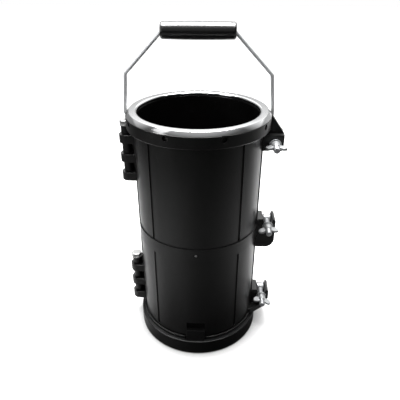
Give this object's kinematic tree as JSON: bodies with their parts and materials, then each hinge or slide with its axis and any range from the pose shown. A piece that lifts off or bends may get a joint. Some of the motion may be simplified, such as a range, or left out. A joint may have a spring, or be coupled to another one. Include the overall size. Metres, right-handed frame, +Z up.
{
  "type": "concrete cylinder mould",
  "caption": "Hinged plastic mould for casting concrete test cylinders: two half shells on a base, a steel rim ring, swing-bolt clamps with wing nuts and a wire bail with a grip.",
  "frame": {"origin": "centre of the base's underside, on the surface that the mould stands on", "axes": "+Z up the mould's axis, +X from the hinges towards the clamps, -Y towards the front half"},
  "size_m": [0.2095, 0.178, 0.427],
  "materials": {
    "base_plastic": "satin",
    "shell_plastic": "satin",
    "ring_steel": "turned",
    "screw_steel": "plated",
    "hinge_steel": "zinc plated",
    "bolt_zinc": "zinc plated",
    "wing_nut_zinc": "zinc plated",
    "wire_steel": "drawn wire",
    "grip_plastic": "gloss"
  },
  "bodies": {
    "base_and_back_half": {"base_plate": "base_plastic", "back_shell": "shell_plastic", "back_rim_ring": "ring_steel", "back_ring_screws": "screw_steel"},
    "front_half": {"front_shell": "shell_plastic", "front_rim_ring": "ring_steel", "front_ring_screws": "screw_steel", "upper_hinge_bolt": "hinge_steel", "upper_hinge_washer": "hinge_steel", "upper_hinge_nut": "hinge_steel", "lower_hinge_bolt": "hinge_steel", "lower_hinge_washer": "hinge_steel", "lower_hinge_nut": "hinge_steel"},
    "bail": {"bail_wire": "wire_steel"},
    "grip": {"bail_grip": "grip_plastic"},
    "top_swing_bolt": {"top_eye_bolt": "bolt_zinc", "top_cross_pin": "bolt_zinc"},
    "top_loose_washer": {"top_washer": "bolt_zinc"},
    "top_turning_nut": {"top_wing_nut": "wing_nut_zinc"},
    "middle_swing_bolt": {"middle_eye_bolt": "bolt_zinc", "middle_cross_pin": "bolt_zinc"},
    "middle_loose_washer": {"middle_washer": "bolt_zinc"},
    "middle_turning_nut": {"middle_wing_nut": "wing_nut_zinc"},
    "low_swing_bolt": {"low_eye_bolt": "bolt_zinc", "low_cross_pin": "bolt_zinc"},
    "low_loose_washer": {"low_washer": "bolt_zinc"},
    "low_turning_nut": {"low_wing_nut": "wing_nut_zinc"}
  },
  "joints": [
    {"name": "front_hinge", "type": "hinge", "parent": "base_and_back_half", "child": "front_half", "pos_m": [-0.09151, 0, 0], "axis": [0, 0, -1], "range_deg": [0, 135]},
    {"name": "bail_swing", "type": "hinge", "parent": "base_and_back_half", "child": "bail", "pos_m": [0, 0.012, 0.3175], "axis": [-1, 0, 0], "range_deg": [-15, 125]},
    {"name": "grip_turn", "type": "hinge", "parent": "bail", "child": "grip", "pos_m": [0, 0.012, 0.4168], "axis": [1, 0, 0], "continuous": true},
    {"name": "top_bolt_swing", "type": "hinge", "parent": "front_half", "child": "top_swing_bolt", "pos_m": [0.0953, 0.007, 0.2892], "axis": [1, 0, 0], "range_deg": [0, 100]},
    {"name": "top_nut_travel", "type": "slide", "parent": "top_swing_bolt", "child": "top_loose_washer", "axis": [0, -1, 0], "range_m": [0, 0.005]},
    {"name": "top_nut_spin", "type": "hinge", "parent": "top_loose_washer", "child": "top_turning_nut", "pos_m": [0.0953, 0, 0.2892], "axis": [0, -1, 0], "range_deg": [0, 1440]},
    {"name": "middle_bolt_swing", "type": "hinge", "parent": "front_half", "child": "middle_swing_bolt", "pos_m": [0.0953, 0.007, 0.1708], "axis": [-1, 0, 0], "range_deg": [0, 100]},
    {"name": "middle_nut_travel", "type": "slide", "parent": "middle_swing_bolt", "child": "middle_loose_washer", "axis": [0, -1, 0], "range_m": [0, 0.005]},
    {"name": "middle_nut_spin", "type": "hinge", "parent": "middle_loose_washer", "child": "middle_turning_nut", "pos_m": [0.0953, 0, 0.1708], "axis": [0, -1, 0], "range_deg": [0, 1440]},
    {"name": "low_bolt_swing", "type": "hinge", "parent": "front_half", "child": "low_swing_bolt", "pos_m": [0.0953, 0.007, 0.0463], "axis": [-1, 0, 0], "range_deg": [0, 100]},
    {"name": "low_nut_travel", "type": "slide", "parent": "low_swing_bolt", "child": "low_loose_washer", "axis": [0, -1, 0], "range_m": [0, 0.005]},
    {"name": "low_nut_spin", "type": "hinge", "parent": "low_loose_washer", "child": "low_turning_nut", "pos_m": [0.0953, 0, 0.0463], "axis": [0, -1, 0], "range_deg": [0, 1440]}
  ],
  "couplings": [
    {"joint": "top_nut_travel", "follows": "top_nut_spin", "m_per_rad": 0.00019894},
    {"joint": "middle_nut_travel", "follows": "middle_nut_spin", "m_per_rad": 0.00019894},
    {"joint": "low_nut_travel", "follows": "low_nut_spin", "m_per_rad": 0.00019894}
  ]
}
